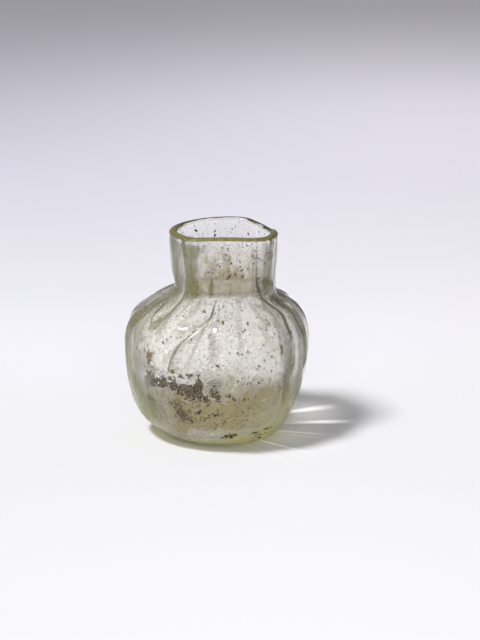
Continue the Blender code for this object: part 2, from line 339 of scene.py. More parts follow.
# Darkest and lightest of each kind of soil, and of the lip's skin.
SOIL_COLOURS = ((0.02, 0.013, 0.003), (0.16, 0.115, 0.035))
RUST_COLOURS = ((0.12, 0.08, 0.02), (0.31, 0.215, 0.07))
CRUST_COLOURS = ((0.04, 0.024, 0.006), (0.22, 0.14, 0.045))
LIP_COLOURS = ((0.1, 0.093, 0.02), (0.2, 0.186, 0.058))
LIP_SPECKS = (0.1, 0.08, 0.05)
# How the jar tints its shadow, at the foot and above: the thin outer skin, the dust, the glass seen from
# aslant and the glass seen straight on. The tint turns from one to the other over these heights.
SKIN_SHADE = (0.975, 0.965, 0.945)
DUST_SHADES = ((0.44, 0.37, 0.295), (0.455, 0.445, 0.435))
EDGE_SHADES = ((0.58, 0.49, 0.28), (0.17, 0.165, 0.165))
FRONT_SHADES = ((0.95, 0.93, 0.88), (0.93, 0.925, 0.92))
SHADE_SPAN = (4.0, 16.0)
# The glass to light already scattered by the floor, and the green that builds up with its depth.
STRAY_SHADE = (0.93, 0.925, 0.9)
DEPTH_COLOUR = (0.62, 0.605, 0.36)
DEPTH_DENSITY = 38.0
# The floor's colour at the left and at the right: near, in the middle and far off.
FLOOR_NEAR = ((0.67, 0.67, 0.69), (0.85, 0.85, 0.875))
FLOOR_MIDDLE = ((0.805, 0.8, 0.86), (0.965, 0.95, 1.0))
FLOOR_FAR = ((0.88, 0.87, 0.97), (0.94, 0.915, 1.0))
# Where those colours run into each other, in millimetres.
NEAR_TO_MIDDLE = (-60, 150)
MIDDLE_TO_FAR = (150, 450)
LEFT_TO_RIGHT = (-150, 150)
# The floor is a wide disc, in metres.
SWEEP_RADIUS = 5.0
SWEEP_SIDES = 64

# Painted light, glowing from the floor itself: a fan of streaks in the jar's shadow where the ribs would
# gather light, from a point under the jar. Each streak has its degrees round, half its width in degrees,
# where it starts, is brightest and ends in millimetres, and its strength.
PAINTED_FAN_FROM = (-7, 5)
PAINTED_FAN_STREAKS = (
    (22, 4.6, 28, 41, 55, 0.6), (3, 3.4, 30, 43, 56, 0.54), (12, 12, 24, 36, 56, 0.07),
    (-22, 30, 22, 38, 62, 0.035), (24, 22, 30, 46, 75, 0.035),
)

# Fine painted rays of light beside the streaks: soft sides in degrees, soft ends in millimetres, and
# strength.
RAY_SIDES = ((-58, -36), (14, -4))
RAY_ENDS = ((22, 30), (52, 36))
PAINTED_RAY_STRENGTH = 0.24
RAYS_PER_RADIAN = 14

# Lamps: where they stand and how wide they are in metres, and their power.
KEY_PLACE = (-0.324, -0.205, 0.7)
KEY_SIZE = 0.15
KEY_POWER = 5.8
GLINT_PLACE = (-0.28, -0.24, 0.69)
GLINT_SIZE = 0.12
GLINT_POWER = 3.3
FAR_FILL_PLACE = (0.15, 0.62, 0.6)
FAR_FILL_AIM = (0.15, 0.62, 0.0)
FAR_FILL_SIZE = 0.30
FAR_FILL_POWER = 0.255
FAR_FILL_COLOUR = (0.95, 0.95, 1.0)
FRONT_FILL_PLACE = (0.02, -1.03, 0.17)
FRONT_FILL_SIZE = 0.70
FRONT_FILL_POWER = 4.8
ROOM_COLOUR = (0.805, 0.8, 0.81)
ROOM_STRENGTH = 0.37

# The camera's tilt in degrees; the rest in millimetres.
CAMERA_ELEVATION = 15.8
CAMERA_DISTANCE = 650
VIEW_HEIGHT = 212.5
AIM_HEIGHT = 35
AIM_RIGHT = 7.77
AIM_UP = 2.92


def smooth_step(low, high, value):
    share = np.clip((value - low) / (high - low), 0.0, 1.0)
    return share * share * (3.0 - 2.0 * share)


def curve_through(points, per_span):
    points = np.array(points, float)
    padded = np.vstack([2 * points[0] - points[1], points, 2 * points[-1] - points[-2]])
    t = (np.arange(per_span) / per_span)[:, None]
    spans = []
    for a, b, c, d in zip(padded, padded[1:], padded[2:], padded[3:]):
        bend = (2 * a - 5 * b + 4 * c - d) * t ** 2 + (3 * b - a - 3 * c + d) * t ** 3
        spans.append(0.5 * (2 * b + (c - a) * t + bend))
    return np.vstack(spans + [points[-1:]])


def evenly(curve, step):
    """The same curve with its points a step apart."""
    gaps = np.linalg.norm(np.diff(curve[:, :2], axis=0), axis=1)
    run = np.concatenate([[0.0], np.cumsum(gaps)])
    at = np.linspace(0.0, run[-1], max(2, int(round(run[-1] / step)) + 1))
    return np.column_stack([np.interp(at, run, column) for column in curve.T])


def across(curve):
    """Unit vectors across a profile, to its right as it runs."""
    along = np.gradient(curve[:, :2], axis=0)
    along /= np.linalg.norm(along, axis=1)[:, None]
    return np.column_stack([along[:, 1], -along[:, 0]])


def outer_line():
    return curve_through(OUTER_WALL, 16)


def inner_line():
    curve = outer_line()
    return curve[:, :2] + across(curve) * curve[:, 2:3]


def round_the_jar(columns):
    return np.linspace(0, 2 * np.pi, columns, endpoint=False)


def from_front(angle):
    """Degrees round from the front of the jar, more to the right."""
    return np.degrees(angle) + 90.0


def turned(degrees):
    return (degrees + 180.0) % 360.0 - 180.0


def neck_plan(angle):
    degrees = np.degrees(angle) % 360.0
    stations = np.array(NECK_PLAN, float)
    a = np.concatenate([stations[-2:, 0] - 360, stations[:, 0], stations[:2, 0] + 360])
    v = np.concatenate([stations[-2:, 1], stations[:, 1], stations[:2, 1]])
    i = np.searchsorted(a, degrees, side="right") - 1
    span = a[i + 1] - a[i]
    t = (degrees - a[i]) / span
    slope_1 = (v[i + 1] - v[i - 1]) / (a[i + 1] - a[i - 1]) * span
    slope_2 = (v[i + 2] - v[i]) / (a[i + 2] - a[i]) * span
    rise = (3 * t ** 2 - 2 * t ** 3) * (v[i + 1] - v[i])
    return v[i] + rise + (t ** 3 - 2 * t ** 2 + t) * slope_1 + (t ** 3 - t ** 2) * slope_2


def rim_fall(angle, height):
    away = turned(np.degrees(angle) - RIM_DIP_AT)
    fall = RIM_DIP * np.exp(-((away / RIM_DIP_SPREAD) ** 2))
    fall = fall + RIM_FALL_RIGHT * np.cos(angle) + RIM_FALL_SIDES * np.cos(2 * angle)
    return fall * smooth_step(*RIM_FALL_SPAN, height)


def placed(angle, radius, height):
    """Where a point of the turned form lies once the jar is crooked, in metres."""
    radius = radius + neck_plan(angle) * smooth_step(*NECK_PLAN_SPAN, height)
    shift = NECK_SHIFT * smooth_step(*NECK_SHIFT_SPAN, height)
    shift = shift + FOOT_SHIFT * (1.0 - smooth_step(0.0, FOOT_SHIFT_TOP, height))
    x = radius * np.cos(angle) + shift
    y = radius * np.sin(angle)
    z = height - rim_fall(angle, height)
    return np.stack([x, y, z], axis=-1) * MM


def path_angle(path, height):
    heights, degrees = np.array(sorted(path), float).T
    return np.interp(height, heights, degrees)


def path_fade(path, height):
    heights = [station[0] for station in path]
    low, high = min(heights), max(heights)
    above = smooth_step(high - 1, high + PATH_FADE, height)
    return smooth_step(low - PATH_FADE, low + PATH_FADE, height) * (1 - above)


def ridge(angle, radius, height, path, half_width, rise):
    off = np.radians(turned(from_front(angle) - path_angle(path, height))) * radius
    return rise * np.exp(-((off / half_width) ** 2)) * path_fade(path, height)


def leaf(angle, radius, height):
    degrees = turned(from_front(angle))
    left = np.radians(degrees - path_angle(LEAF_LEFT, height)) * radius
    right = np.radians(path_angle(LEAF_RIGHT, height) - degrees) * radius
    inside = smooth_step(-LEAF_EDGE, LEAF_EDGE, left) * smooth_step(-LEAF_EDGE, LEAF_EDGE, right)
    return LEAF_RISE * inside * smooth_step(*LEAF_LOW, height) * (1 - smooth_step(*LEAF_HIGH, height))


def patch_value(degrees, height, patches, flatness=2):
    """The sum of soft patches; a higher flatness gives them fuller middles and crisper edges."""
    total = np.zeros(np.broadcast(degrees, height).shape)
    for middle, level, wide, tall, amount in patches:
        off = np.abs(turned(degrees - middle) / wide) ** flatness
        off = off + np.abs((height - level) / tall) ** flatness
        total += amount * np.exp(-0.5 * off)
    return total


def wobble(points, wavelength, seed):
    """A slow uneven swell over points given in millimetres, about -1 to 1."""
    rng = np.random.default_rng(seed)
    total = np.zeros(points.shape[:-1])
    for _ in range(WAVES):
        way = rng.normal(size=3)
        way *= 2 * np.pi / wavelength / np.linalg.norm(way) * rng.uniform(0.6, 1.5)
        total += np.cos(points @ way + rng.uniform(0, 2 * np.pi))
    return total / math.sqrt(WAVES)


def relief(angle, radius, height):
    """How far the blown surface stands off its turned form, in millimetres."""
    total = np.zeros(np.broadcast(angle, height).shape)
    for share, sharpness, path in RIBS:
        total += ridge(angle, radius, height, path, RIB_BREADTH, RIB_RISE * share)
        total += ridge(angle, radius, height, path, CREST_HALF_WIDTH, CREST_RISE * sharpness)
    for half_width, rise, path in FLUTES:
        total += ridge(angle, radius, height, path, half_width, rise)
    total += leaf(angle, radius, height)
    for edge in (LEAF_LEFT, LEAF_RIGHT):
        total += ridge(angle, radius, height, edge, LEAF_GROOVE_HALF_WIDTH, LEAF_GROOVE)
    total += patch_value(from_front(angle), height, SWELLS) * smooth_step(*SWELL_FADE, height)
    return total - BODY_DRAWN_IN * smooth_step(*BODY_LOW, height) * (1 - smooth_step(*BODY_HIGH, height))


def wall_points(curve, normal, columns, lift, seed):
    """Grid of points down a profile and round the jar, stood off it by lift and a slow swell, in metres."""
    angle = round_the_jar(columns)[None, :]
    radius, height = curve[:, 0:1] + 0 * angle, curve[:, 1:2] + 0 * angle
    base = placed(angle + 0 * radius, radius, height) / MM
    swell = WOBBLE * smooth_step(*WOBBLE_START, height) * wobble(base * WOBBLE_SQUASH, WOBBLE_LENGTH, seed)
    off = lift + swell
    if seed == OUTSIDE:
        off = off + relief(angle, radius, height)
    return placed(angle + 0 * radius, radius + normal[:, 0:1] * off, height + normal[:, 1:2] * off)


def outer_points(columns, step, lift=0.0):
    curve = evenly(outer_line(), step)
    return wall_points(curve[:, :2], -across(curve), columns, lift, OUTSIDE)


def inner_points(columns, step, lift=0.0):
    """From the lip down to the edge of the floor, inside; lift is into the hollow."""
    curve = evenly(inner_line(), step)
    return wall_points(curve, across(curve), columns, lift, INSIDE)


def wall_grid(line, columns, step):
    """Degrees round from the front, and height, at each point of a wall's grid."""
    curve = evenly(line, step)
    degrees = turned(from_front(round_the_jar(columns)))[None, :]
    return degrees + 0 * curve[:, 1:2], curve[:, 1:2] + 0 * degrees


def lip_line():
    """The rounded lip, from inside over the top to the outside."""
    top = outer_line()[0]
    half = top[2] / 2
    turn = np.pi * np.arange(LIP_STEPS - 1, 0, -1) / LIP_STEPS
    return np.column_stack([top[0] - half + half * np.cos(turn), top[1] + half * np.sin(turn)])


def plain_rings(line, angle):
    return [placed(angle, np.full(angle.shape, r), np.full(angle.shape, h)) for r, h in line]


def floor_line():
    """The slightly domed floor inside, from near its middle out to the wall."""
    edge = inner_line()[-1]
    radius = edge[0] * np.arange(1, FLOOR_STEPS) / FLOOR_STEPS
    return np.column_stack([radius, edge[1] + FLOOR_RISE * (1 + np.cos(np.pi * radius / edge[0])) / 2])


def jar_rings(columns, step):
    """Grid of points over the whole glass: inside floor, inner wall, lip, outer wall, underside."""
    angle = round_the_jar(columns)
    kick_r = RING_INNER_RADIUS * np.array(KICK_SHARES)
    kick = np.column_stack([kick_r, KICK_HEIGHT * (1 + np.cos(np.pi * kick_r / RING_INNER_RADIUS)) / 2])
    rows = plain_rings(floor_line(), angle)
    rows += list(inner_points(columns, 2.0 * step)[::-1])
    rows += plain_rings(lip_line(), angle)
    rows += list(outer_points(columns, step))
    rows += plain_rings(kick, angle)
    floor_middle = placed(0.0, 0.0, inner_line()[-1][1] + FLOOR_RISE)
    kick_middle = placed(0.0, 0.0, KICK_HEIGHT)
    return np.array(rows), floor_middle, kick_middle


def mesh_from(name, points, faces):
    mesh = bpy.data.meshes.new(name)
    mesh.from_pydata(points, [], faces)
    mesh.update()
    mesh.shade_smooth()
    return mesh


def grid_mesh(name, rings, first=None, last=None):
    """A tube of rings, each a row of points, with an optional middle point at either end."""
    count, columns = rings.shape[:2]
    points = [tuple(p) for p in rings.reshape(-1, 3)]
    faces = []
    for row in range(count - 1):
        base = row * columns
        for c in range(columns):
            d = (c + 1) % columns
            faces.append((base + c, base + columns + c, base + columns + d, base + d))
    if first is not None:
        points.append(tuple(first))
        faces += [(len(points) - 1, c, (c + 1) % columns) for c in range(columns)]
    if last is not None:
        points.append(tuple(last))
        base = (count - 1) * columns
        faces += [(len(points) - 1, base + (c + 1) % columns, base + c) for c in range(columns)]
    return mesh_from(name, points, faces)


def put_in_scene(name, data):
    thing = bpy.data.objects.new(name, data)
    bpy.context.scene.collection.objects.link(thing)
    return thing


def add_object(name, mesh, material):
    mesh.materials.append(material)
    return put_in_scene(name, mesh)


def wall_spots(degrees, height):
    """Points of a wall's grid laid out flat, in millimetres."""
    return np.stack([np.radians(degrees) * WALL_RADIUS, height, 0 * height], axis=-1)


def soil_value(degrees, height, patches, seed, grain):
    """How thickly soil lies: above zero where it stays, from named patches broken up by a seeded field."""
    spots = wall_spots(degrees, height)
    broken = 0.0
    for k, (length, share) in enumerate(SOIL_BREAKS):
        broken = broken + share * wobble(spots, length * grain, seed + k)
    return patch_value(degrees, height, patches) + BREAK_STRENGTH * broken - SOIL_LEAST


def flake_mesh(name, keep, low, high):
    """Closed flakes: two skins over the kept cells of a grid that wraps round, joined at their edges."""
    columns = keep.shape[1]
    index, points, faces = {}, [], []

    def corner(spot, skin):
        key = (spot[0], spot[1] % columns, skin)
        if key not in index:
            index[key] = len(points)
            points.append(tuple((low, high)[skin][key[0], key[1]]))
        return index[key]

    def kept(r, c):
        return 0 <= r < keep.shape[0] and keep[r, c % columns]

    for r, c in zip(*np.nonzero(keep)):
        around = [(r, c), (r + 1, c), (r + 1, c + 1), (r, c + 1)]
        beside = [(r, c - 1), (r + 1, c), (r, c + 1), (r - 1, c)]
        faces.append([corner(spot, 0) for spot in around])
        faces.append([corner(spot, 1) for spot in reversed(around)])
        for k, neighbour in enumerate(beside):
            if not kept(*neighbour):
                a, b = around[k], around[(k + 1) % 4]
                faces.append([corner(a, 0), corner(a, 1), corner(b, 1), corner(b, 0)])
    return mesh_from(name, points, faces)


def add_piece(name, mesh, material):
    piece = add_object(name, mesh, material)
    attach(piece, "root")
    return piece


def make_flakes(name, patches, material, step, thickness, seed, grain, outside=False):
    """Broken clumps on the inner wall, or low on the outside, a cell a step wide."""
    columns = int(2 * math.pi * WALL_RADIUS / step)
    degrees, height = wall_grid(outer_line() if outside else inner_line(), columns, step)
    value = soil_value(degrees, height, patches, seed, grain)
    if outside:
        near = patch_value(degrees, height, patches) > NEAR_A_PATCH
        value = np.where(near & (height > CLEAN_FOOT), value, -1.0)
    soiled = (value > 0) & (np.roll(value, -1, 1) > 0)
    keep = soiled[:-1] & soiled[1:]
    crest = FLAKE_LEAST + thickness * np.clip(value, 0, FLAKE_FULLEST)
    points = outer_points if outside else inner_points
    skins = [points(columns, step, lift) for lift in (SKIN_LIFT, crest)]
    if outside:
        skins.reverse()
    return add_piece(name, flake_mesh(name, keep, *skins), material)


def fine_wall():
    """The inner wall's profile in short steps, and the way into the hollow at each."""
    line = evenly(inner_line(), SPOT_STEP)
    return line, across(line)


def wall_spot(line, normal, degrees, height):
    """A point on the inner wall and the way into the hollow there."""
    k = int(np.argmin(np.abs(line[:, 1] - height)))
    angle = math.radians(degrees - 90.0)
    spot = Vector(placed(angle, line[k, 0], line[k, 1]))
    inward = Vector((normal[k, 0] * math.cos(angle), normal[k, 0] * math.sin(angle), normal[k, 1]))
    return spot, inward


def mesh_of(name, shape):
    mesh = bpy.data.meshes.new(name)
    shape.to_mesh(mesh)
    shape.free()
    mesh.shade_smooth()
    return mesh


def make_grains(name, grains, material, seed):
    """Small flattened lumps on the inner wall."""
    rng = np.random.default_rng(seed)
    wall = fine_wall()
    shape = bmesh.new()
    for degrees, height, size in grains:
        spot, inward = wall_spot(*wall, degrees, height)
        stand = inward.to_track_quat("Z", "Y").to_matrix().to_4x4()
        stretch = rng.uniform(*GRAIN_STRETCH)
        lean = math.cos(rng.uniform(0, math.pi))
        for v in bmesh.ops.create_icosphere(shape, subdivisions=1, radius=size * MM)["verts"]:
            lump = Vector((v.co.x + lean * v.co.y, v.co.y * stretch, v.co.z * GRAIN_FLATNESS))
            v.co = stand @ (lump * rng.uniform(*GRAIN_UNEVENNESS)) + spot
    return add_piece(name, mesh_of(name, shape), material)


def scattered_grains(seed):
    rng = np.random.default_rng(seed)
    grains = []
    for count, lowest, highest, least, most in SCATTERS:
        for _ in range(count):
            height = rng.uniform(lowest, highest)
            size = least + (most - least) * rng.random() ** 3
            grains.append((rng.uniform(-180, 180), height, size))
    return grains


def make_rootlets(name, rootlets, material, seed):
    """Thin dry roots lying on the inner wall: little three-sided tubes that wander and taper."""
    rng = np.random.default_rng(seed)
    wall = fine_wall()
    shape = bmesh.new()
    for degrees, height, heading, length, wander in rootlets:
        heading = math.radians(heading)
        steps = max(ROOT_LEAST_STEPS, int(length / ROOT_STEP))
        last = None
        for k in range(steps + 1):
            spot, inward = wall_spot(*wall, degrees, height)
            thickness = ROOT_RADIUS * (1.0 - ROOT_TAPER * abs(2.0 * k / steps - 1.0)) * MM
            side = Vector((0, 0, 1)).cross(inward).normalized()
            along = (side * math.cos(heading) + side.cross(inward) * -math.sin(heading)).normalized()
            across_it = along.cross(inward)
            ring = []
            for turn in ROOT_CORNERS:
                out = across_it * math.cos(turn) + inward * math.sin(turn)
                ring.append(shape.verts.new(spot + out * thickness))
            if last is None:
                shape.faces.new(ring)
            else:
                for a in range(3):
                    b = (a + 1) % 3
                    shape.faces.new((last[b], last[a], ring[a], ring[b]))
            last = ring
            heading += wander * rng.normal()
            degrees += math.degrees(ROOT_STEP * math.cos(heading) / FOLD_RADIUS)
            height += ROOT_STEP * math.sin(heading)
        shape.faces.new(reversed(last))
    bmesh.ops.recalc_face_normals(shape, faces=shape.faces)
    return add_piece(name, mesh_of(name, shape), material)


def add_node(tree, kind, **settings):
    node = tree.nodes.new("ShaderNode" + kind)
    for name, value in settings.items():
        setattr(node, name, value)
    return node


def is_socket(value):
    return isinstance(value, bpy.types.NodeSocket)


def feed(socket, value):
    """Join a node's output to a socket, or set the socket's own value; a colour leaves out its alpha."""
    if is_socket(value):
        socket.id_data.links.new(value, socket)
    elif socket.type == "RGBA":
        socket.default_value = (*value, 1.0)
    else:
        socket.default_value = value


def maths(operation, first, second=0.0, clamp=False):
    tree = (first if is_socket(first) else second).id_data
    node = add_node(tree, "Math", operation=operation, use_clamp=clamp)
    feed(node.inputs[0], first)
    feed(node.inputs[1], second)
    return node.outputs[0]


def chained(operation, values):
    result = values[0]
    for value in values[1:]:
        result = maths(operation, result, value)
    return result


def product(*values):
    return chained("MULTIPLY", values)


def total_of(*values):
    return chained("ADD", values)


def ramp_between(value, low, high, start=0.0, end=1.0):
    node = add_node(value.id_data, "MapRange", interpolation_type="SMOOTHSTEP")
    for socket, given in zip(node.inputs[:5], (value, low, high, start, end)):
        feed(socket, given)
    return node.outputs[0]


def blended(share, first, second):
    node = add_node(share.id_data, "Mix", data_type="RGBA")
    feed(node.inputs["Factor"], share)
    feed(node.inputs[6], first)
    feed(node.inputs[7], second)
    return node.outputs[2]


def vectors(operation, first, second=(0.0, 0.0, 0.0)):
    node = add_node(first.id_data, "VectorMath", operation=operation)
    feed(node.inputs[0], first)
    feed(node.inputs[1], second)
    return node.outputs


def parts_of(vector):
    node = add_node(vector.id_data, "SeparateXYZ")
    feed(node.inputs[0], vector)
    return node.outputs


def new_effect(name, inputs, outputs):
    """An empty shader node group with named sockets: (name, kind, value when left alone)."""
    group = bpy.data.node_groups.new(name, "ShaderNodeTree")
    for socket, kind, value in inputs:
        made = group.interface.new_socket(socket, in_out="INPUT", socket_type="NodeSocket" + kind)
        made.default_value = value
    for socket, kind in outputs:
        group.interface.new_socket(socket, in_out="OUTPUT", socket_type="NodeSocket" + kind)
    given = group.nodes.new("NodeGroupInput")
    made = group.nodes.new("NodeGroupOutput")
    return group, given.outputs, made.inputs


def effect(tree, name, **values):
    """Place a shared effect in a material and give its sockets their values."""
    node = tree.nodes.new("ShaderNodeGroup")
    node.node_tree = bpy.data.node_groups[name]
    for socket, value in values.items():
        feed(node.inputs[socket], value)
    return node.outputs


def build_place_on_jar():
    """Where on the jar, in millimetres from the middle of its foot, stretched to draw grain out."""
    group, given, made = new_effect(
        "place_on_jar",
        (("Stretch", "Vector", (1.0, 1.0, 1.0)),),
        (("Place", "Vector"), ("Height", "Float")),
    )
    place = vectors("MULTIPLY", add_node(group, "TexCoord").outputs["Object"], (1.0 / MM,) * 3)[0]
    feed(made["Place"], vectors("MULTIPLY", place, given["Stretch"])[0])
    feed(made["Height"], parts_of(place)["Z"])


def build_cloudy_patches():
    """Soft uneven patches of a given size, in millimetres; Low and High set how much is covered."""
    group, given, made = new_effect(
        "cloudy_patches",
        (
            ("Place", "Vector", (0.0, 0.0, 0.0)),
            ("Size", "Float", 1.0),
            ("Low", "Float", 0.4),
            ("High", "Float", 0.6),
            ("Detail", "Float", 4.0),
        ),
        (("Share", "Float"),),
    )
    noise = add_node(group, "TexNoise", noise_dimensions="3D")
    feed(noise.inputs["Vector"], given["Place"])
    feed(noise.inputs["Scale"], maths("DIVIDE", 1.0, given["Size"]))
    feed(noise.inputs["Detail"], given["Detail"])
    feed(noise.inputs["Roughness"], 0.62)
    feed(made["Share"], ramp_between(noise.outputs["Fac"], given["Low"], given["High"]))


def build_fine_specks():
    """Small separate dots: a share of the cells holds one, of a size that varies up to the radius."""
    group, given, made = new_effect(
        "fine_specks",
        (
            ("Place", "Vector", (0.0, 0.0, 0.0)),
            ("Spacing", "Float", 1.0),
            ("Radius", "Float", 0.3),
            ("Chance", "Float", 0.5),
        ),
        (("Specks", "Float"),),
    )
    cells = add_node(group, "TexVoronoi", voronoi_dimensions="3D", feature="F1")
    feed(cells.inputs["Vector"], given["Place"])
    feed(cells.inputs["Scale"], maths("DIVIDE", 1.0, given["Spacing"]))
    pick = add_node(group, "SeparateColor")
    feed(pick.inputs[0], cells.outputs["Color"])
    widest = maths("DIVIDE", given["Radius"], given["Spacing"])
    reach = product(maths("ADD", product(pick.outputs[0], 0.7), 0.3), widest)
    dot = ramp_between(cells.outputs["Distance"], product(reach, 0.5), reach, 1.0, 0.0)
    chosen = maths("LESS_THAN", pick.outputs[1], given["Chance"])
    feed(made["Specks"], product(dot, chosen))


def clouds(place, size, low, high, detail=4.0):
    values = {"Place": place, "Size": size, "Low": low, "High": high, "Detail": detail}
    return effect(place.id_data, "cloudy_patches", **values)["Share"]


def dots_at(place, spacing, radius, chance):
    values = {"Place": place, "Spacing": spacing, "Radius": radius, "Chance": chance}
    return effect(place.id_data, "fine_specks", **values)["Specks"]


def build_effects():
    build_place_on_jar()
    build_cloudy_patches()
    build_fine_specks()


def new_material(name):
    material = bpy.data.materials.new(name)
    material.use_nodes = True
    tree = material.node_tree
    return material, tree, tree.nodes["Principled BSDF"], tree.nodes["Material Output"]


def measured_share(tree, name):
    """A share that make_film wrote on the mesh's points."""
    node = add_node(tree, "Attribute", attribute_type="GEOMETRY", attribute_name=name)
    return node.outputs["Fac"]


def clear_for(rays, shader, tint):
    """The shader as it is, but a clear tint to one kind of ray, such as those that cast shadows."""
    tree = shader.id_data
    clear = add_node(tree, "BsdfTransparent")
    feed(clear.inputs["Color"], tint)
    mix = add_node(tree, "MixShader")
    feed(mix.inputs[0], add_node(tree, "LightPath").outputs[rays])
    feed(mix.inputs[1], shader)
    feed(mix.inputs[2], clear.outputs[0])
    return mix.outputs[0]


def cover(under, over):
    """How much two thin layers hide together."""
    return maths("SUBTRACT", 1.0, product(maths("SUBTRACT", 1.0, under), maths("SUBTRACT", 1.0, over)))


def film_material(name, frost_amount, silt_amount, olive_amount, speck_amount, gloss, shades):
    """A weathering skin: milky frost, olive bands with painted shade along rib lines and in hollows, tan
    silt and dark specks, each by its own share.
    """
    material, tree, film, output = new_material(name)
    place = effect(tree, "place_on_jar")["Place"]
    drawn = effect(tree, "place_on_jar", Stretch=(1.0, 1.0, 0.13))["Place"]
    runs = clouds(drawn, 1.5, 0.38, 0.66)
    mottle = clouds(place, 3.4, 0.36, 0.62, 6.0)
    grain = clouds(place, 0.7, 0.40, 0.62, 3.0)
    crisp = clouds(place, 1.5, 0.52, 0.60, 6.0)
    specks = dots_at(place, 1.7, 0.55, 0.5)
    pits = dots_at(place, 0.8, 0.33, 0.45)
    frost, silt = measured_share(tree, "frost"), measured_share(tree, "silt")
    soil, olive = measured_share(tree, "soil"), measured_share(tree, "olive")
    green = product(measured_share(tree, "green"), maths("ADD", 0.65, product(mottle, 0.35)))
    clean = measured_share(tree, "clean")

    texture = total_of(product(runs, 0.45), product(grain, 0.1), product(mottle, 0.45))
    milky = product(frost, maths("ADD", 0.42, product(texture, 0.56)), 0.75 * frost_amount)
    salt = product(frost, crisp, mottle, 0.7 * frost_amount)
    drift = total_of(product(grain, 0.28), product(mottle, 0.25), product(runs, 0.3))
    muddy = total_of(product(silt, maths("ADD", 0.42, drift)), product(soil, crisp, 0.6))
    silty = maths("MULTIPLY", muddy, silt_amount, True)
    banded = product(olive, maths("ADD", 0.68, product(runs, 0.32)))
    fold_olive_and_shade = measured_share(tree, "fold_olive_and_shade")
    olive_and_shade = product(maths("MAXIMUM", banded, fold_olive_and_shade), olive_amount)
    dots = product(maths("MAXIMUM", specks, product(pits, 0.75)), speck_amount)

    hidden = cover(cover(cover(cover(milky, salt), olive_and_shade), cover(silty, dots)), green)
    feed(film.inputs["Alpha"], maths("MULTIPLY", hidden, clean, True))
    # The lines turn a deeper olive at their middles: painted shade along rib edges and folds, over olive
    # weathering.
    dull = blended(ramp_between(fold_olive_and_shade, 0.7, 1.0), OLIVE, DEEP_OLIVE_AND_SHADE)
    colour = blended(maths("MULTIPLY", olive_and_shade, 1.6, True), blended(salt, CHALK, SALT), dull)
    mud = blended(product(soil, crisp), TAN_SILT, BROWN_SILT)
    colour = blended(maths("MULTIPLY", silty, 1.5, True), colour, mud)
    colour = blended(maths("MULTIPLY", dots, 1.3, True), colour, SPECK_BROWN)
    colour = blended(maths("MULTIPLY", green, 1.4, True), colour, YELLOW_GREEN)
    feed(film.inputs["Base Color"], colour)
    feed(film.inputs["Roughness"], maths("ADD", 0.65, product(grain, 0.3)))
    feed(film.inputs["Specular IOR Level"], 0.1)
    feed(film.inputs["Coat Weight"], gloss)
    feed(film.inputs["Coat Roughness"], 0.05)
    rise = ramp_between(effect(tree, "place_on_jar")["Height"], *SHADE_SPAN)
    feed(output.inputs["Surface"], clear_for("Is Shadow Ray", film.outputs[0], blended(rise, *shades)))
    return material


def soil_material(name, colours, lump):
    material, tree, soil, output = new_material(name)
    place = effect(tree, "place_on_jar")["Place"]
    lumps = clouds(place, lump, 0.36, 0.66, 3.0)
    feed(soil.inputs["Base Color"], blended(lumps, *colours))
    feed(soil.inputs["Roughness"], 0.95)
    feed(soil.inputs["Specular IOR Level"], 0.1)
    bump = add_node(tree, "Bump")
    feed(bump.inputs["Strength"], 0.4)
    feed(bump.inputs["Distance"], 0.2 * MM)
    feed(bump.inputs["Height"], lumps)
    feed(soil.inputs["Normal"], bump.outputs[0])
    return material


def lip_patina_material():
    material, tree, patina, output = new_material("lip_patina")
    place = effect(tree, "place_on_jar")["Place"]
    mottle = clouds(place, 1.3, 0.3, 0.7)
    specks = dots_at(place, 1.6, 0.3, 0.4)
    worn = measured_share(tree, "olive")
    feed(patina.inputs["Base Color"], blended(specks, blended(mottle, *LIP_COLOURS), LIP_SPECKS))
    feed(patina.inputs["Alpha"], product(worn, ramp_between(mottle, 0.0, 1.0, 0.86, 0.97)))
    feed(patina.inputs["Roughness"], 0.35)
    feed(patina.inputs["Specular IOR Level"], 0.4)
    return material


def write_share(mesh, name, values):
    layer = mesh.attributes.new(name, "FLOAT", "POINT")
    shares = np.clip(values, 0.0, 1.0).astype(np.float32).ravel()
    middle = np.full(len(mesh.vertices) - len(shares), shares[-1], np.float32)
    layer.data.foreach_set("value", np.append(shares, middle))


def make_film(name, points, degrees, height, hollows, material, middle=None):
    mesh = grid_mesh(name, points, last=middle)
    bands = patch_value(degrees, height, WALL_BANDS, 4) + patch_value(degrees, height, NECK_BANDS, 4)
    fold_olive_and_shade = 0.0 * height
    # Olive weathering with painted shade along rib edges and folds.
    for half_width, amount, path in OLIVE_AND_SHADE_LINES:
        fold_olive_and_shade = fold_olive_and_shade + ridge(np.radians(degrees - 90.0), FOLD_RADIUS, height, path, half_width, amount)
    write_share(mesh, "olive", bands + hollows)
    write_share(mesh, "fold_olive_and_shade", fold_olive_and_shade)
    write_share(mesh, "green", patch_value(degrees, height, GREEN_PATCHES))
    write_share(mesh, "frost", HAZE_EVERYWHERE + patch_value(degrees, height, FROST_PATCHES))
    spots = wall_spots(degrees, height)
    uneven = sum(share * wobble(spots, length, seed) for share, length, seed in SILT_WAVES)
    silt = patch_value(degrees, height, SILT_PATCHES)
    write_share(mesh, "silt", smooth_step(*SILT_EDGES, silt * (1.0 + uneven)))
    write_share(mesh, "soil", patch_value(degrees, height, SOIL_CLOUDS))
    back = smooth_step(*BACK_OF_NECK_UP, height) * smooth_step(*BACK_OF_NECK_ROUND, np.abs(degrees))
    write_share(mesh, "clean", (1.0 - BACK_OF_NECK_CLEAN * back) * (1.0 - smooth_step(*LIP_CLEAR, height)))
    return add_piece(name, mesh, material)


